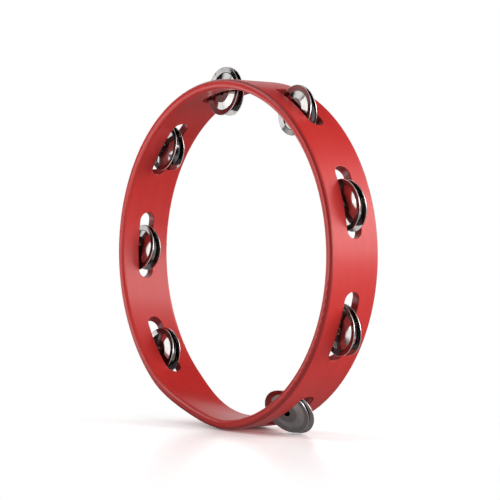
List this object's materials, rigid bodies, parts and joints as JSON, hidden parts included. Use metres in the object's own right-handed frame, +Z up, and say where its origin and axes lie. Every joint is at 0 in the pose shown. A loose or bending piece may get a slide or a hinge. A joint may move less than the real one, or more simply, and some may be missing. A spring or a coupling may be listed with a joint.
{
  "type": "tambourine",
  "caption": "Headless hand tambourine: a slotted round wooden hoop with a twisted grip and pairs of loose domed steel jingles on pins in its slots.",
  "frame": {"origin": "the point at mid depth, on the ground that the hoop stands on, under its centre", "axes": "+Z is up with the tambourine standing on its edge, +Y runs along the hoop's axis towards the back edge where the pins are driven in, and +X runs across the hoop so that the twisted grip is low on the -X side"},
  "size_m": [0.2777, 0.044, 0.266],
  "materials": {
    "lacquered_wood": "satin red lacquer over bent wood",
    "jingle_nickel": "bright nickel-plated pressed steel",
    "pin_steel": "plain drawn wire nail"
  },
  "bodies": {
    "hoop": {"hoop": "lacquered_wood", "pin_1": "pin_steel", "pin_2": "pin_steel", "pin_3": "pin_steel", "pin_4": "pin_steel", "pin_5": "pin_steel", "pin_6": "pin_steel", "pin_7": "pin_steel", "pin_8": "pin_steel"},
    "jingle_1_front": {"jingle_1_front": "jingle_nickel"},
    "jingle_1_back": {"jingle_1_back": "jingle_nickel"},
    "jingle_2_front": {"jingle_2_front": "jingle_nickel"},
    "jingle_2_back": {"jingle_2_back": "jingle_nickel"},
    "jingle_3_front": {"jingle_3_front": "jingle_nickel"},
    "jingle_3_back": {"jingle_3_back": "jingle_nickel"},
    "jingle_4_front": {"jingle_4_front": "jingle_nickel"},
    "jingle_4_back": {"jingle_4_back": "jingle_nickel"},
    "jingle_5_front": {"jingle_5_front": "jingle_nickel"},
    "jingle_5_back": {"jingle_5_back": "jingle_nickel"},
    "jingle_6_front": {"jingle_6_front": "jingle_nickel"},
    "jingle_6_back": {"jingle_6_back": "jingle_nickel"},
    "jingle_7_front": {"jingle_7_front": "jingle_nickel"},
    "jingle_7_back": {"jingle_7_back": "jingle_nickel"},
    "jingle_8_front": {"jingle_8_front": "jingle_nickel"},
    "jingle_8_back": {"jingle_8_back": "jingle_nickel"}
  },
  "joints": [
    {"name": "jingle_1_front_spin", "type": "hinge", "parent": "hoop", "child": "jingle_1_front", "pos_m": [0.055, -0.00184, 0.01598], "axis": [-0.223, 0.8501, 0.4772], "continuous": true},
    {"name": "jingle_1_back_spin", "type": "hinge", "parent": "hoop", "child": "jingle_1_back", "pos_m": [0.0566, 0.00294, 0.01645], "axis": [-0.223, 0.8501, 0.4772], "continuous": true},
    {"name": "jingle_2_front_spin", "type": "hinge", "parent": "hoop", "child": "jingle_2_front", "pos_m": [0.11334, 0, 0.07871], "axis": [0, 1, 0], "continuous": true},
    {"name": "jingle_2_back_spin", "type": "hinge", "parent": "hoop", "child": "jingle_2_back", "pos_m": [0.11334, 0, 0.07871], "axis": [0, 1, 0], "continuous": true},
    {"name": "jingle_3_front_spin", "type": "hinge", "parent": "hoop", "child": "jingle_3_front", "pos_m": [0.11835, 0, 0.16304], "axis": [0, 1, 0], "continuous": true},
    {"name": "jingle_3_back_spin", "type": "hinge", "parent": "hoop", "child": "jingle_3_back", "pos_m": [0.11835, 0, 0.16304], "axis": [0, 1, 0], "continuous": true},
    {"name": "jingle_4_front_spin", "type": "hinge", "parent": "hoop", "child": "jingle_4_front", "pos_m": [0.06798, 0, 0.23086], "axis": [0, 1, 0], "continuous": true},
    {"name": "jingle_4_back_spin", "type": "hinge", "parent": "hoop", "child": "jingle_4_back", "pos_m": [0.06798, 0, 0.23086], "axis": [0, 1, 0], "continuous": true},
    {"name": "jingle_5_front_spin", "type": "hinge", "parent": "hoop", "child": "jingle_5_front", "pos_m": [-0.01419, 0, 0.25044], "axis": [0, 1, 0], "continuous": true},
    {"name": "jingle_5_back_spin", "type": "hinge", "parent": "hoop", "child": "jingle_5_back", "pos_m": [-0.01419, 0, 0.25044], "axis": [0, 1, 0], "continuous": true},
    {"name": "jingle_6_front_spin", "type": "hinge", "parent": "hoop", "child": "jingle_6_front", "pos_m": [-0.08973, 0, 0.21261], "axis": [0, 1, 0], "continuous": true},
    {"name": "jingle_6_back_spin", "type": "hinge", "parent": "hoop", "child": "jingle_6_back", "pos_m": [-0.08973, 0, 0.21261], "axis": [0, 1, 0], "continuous": true},
    {"name": "jingle_7_front_spin", "type": "hinge", "parent": "hoop", "child": "jingle_7_front", "pos_m": [-0.12328, 0, 0.13508], "axis": [0, 1, 0], "continuous": true},
    {"name": "jingle_7_back_spin", "type": "hinge", "parent": "hoop", "child": "jingle_7_back", "pos_m": [-0.12328, 0, 0.13508], "axis": [0, 1, 0], "continuous": true},
    {"name": "jingle_8_front_spin", "type": "hinge", "parent": "hoop", "child": "jingle_8_front", "pos_m": [-0.09915, 0, 0.05413], "axis": [0, 1, 0], "continuous": true},
    {"name": "jingle_8_back_spin", "type": "hinge", "parent": "hoop", "child": "jingle_8_back", "pos_m": [-0.09915, 0, 0.05413], "axis": [0, 1, 0], "continuous": true}
  ]
}
